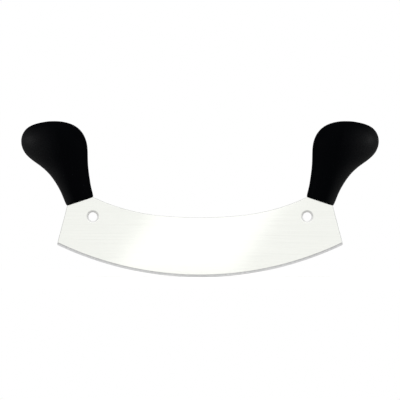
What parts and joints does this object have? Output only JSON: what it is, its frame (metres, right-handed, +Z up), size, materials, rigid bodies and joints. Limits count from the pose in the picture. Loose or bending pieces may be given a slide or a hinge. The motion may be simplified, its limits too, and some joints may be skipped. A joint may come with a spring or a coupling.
{
  "type": "mezzaluna",
  "caption": "Rocking chopping knife: a crescent blade ground along its convex lower edge, with an upright pear-shaped handle moulded on each end and a hanging hole below each handle.",
  "frame": {"origin": "lowest point of the cutting edge, at mid-length, in the middle plane of the blade", "axes": "+X along the blade to the right-hand handle, +Y through the blade from its front face to its back, +Z up from the cutting edge to the handles"},
  "size_m": [0.354, 0.0352, 0.1545],
  "materials": {
    "blade_steel": "finely ground stainless steel, with a coarser ground bevel along the cutting edge",
    "core_plastic": "as moulded, hidden under the grip",
    "grip_plastic": "matte black moulding with a fine spark-eroded texture"
  },
  "bodies": {
    "root": {"blade": "blade_steel", "left_handle_core": "core_plastic", "right_handle_core": "core_plastic", "left_handle_grip": "grip_plastic", "right_handle_grip": "grip_plastic"}
  },
  "joints": []
}
